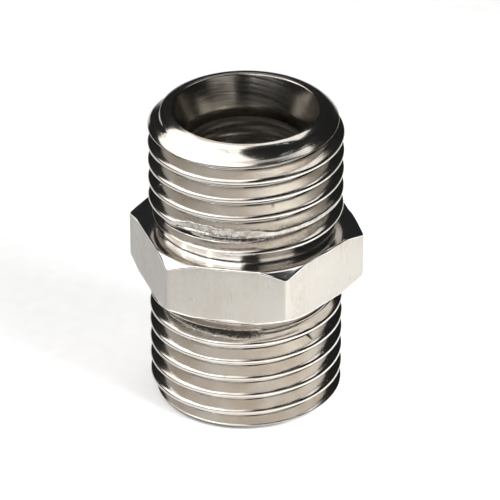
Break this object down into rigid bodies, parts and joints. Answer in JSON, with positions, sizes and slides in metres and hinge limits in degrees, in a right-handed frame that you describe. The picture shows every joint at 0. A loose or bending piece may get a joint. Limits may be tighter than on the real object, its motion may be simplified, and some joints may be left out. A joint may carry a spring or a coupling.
{
  "type": "hex nipple",
  "caption": "Short double male pipe nipple: right-hand threads on both ends of a hexagon, with a through bore and coned mouths, for joining two female ports.",
  "frame": {"origin": "centre of the lower end face, on the axis of the bore", "axes": "+Z along the bore from the lower thread to the upper thread; the hexagon's corners lie on X and two of its flats face +Y and -Y"},
  "size_m": [0.0162, 0.014, 0.0214],
  "materials": {
    "nickel_plate": "bright nickel plate over machined brass"
  },
  "bodies": {
    "root": {"hex_nipple_body": "nickel_plate"}
  },
  "joints": []
}
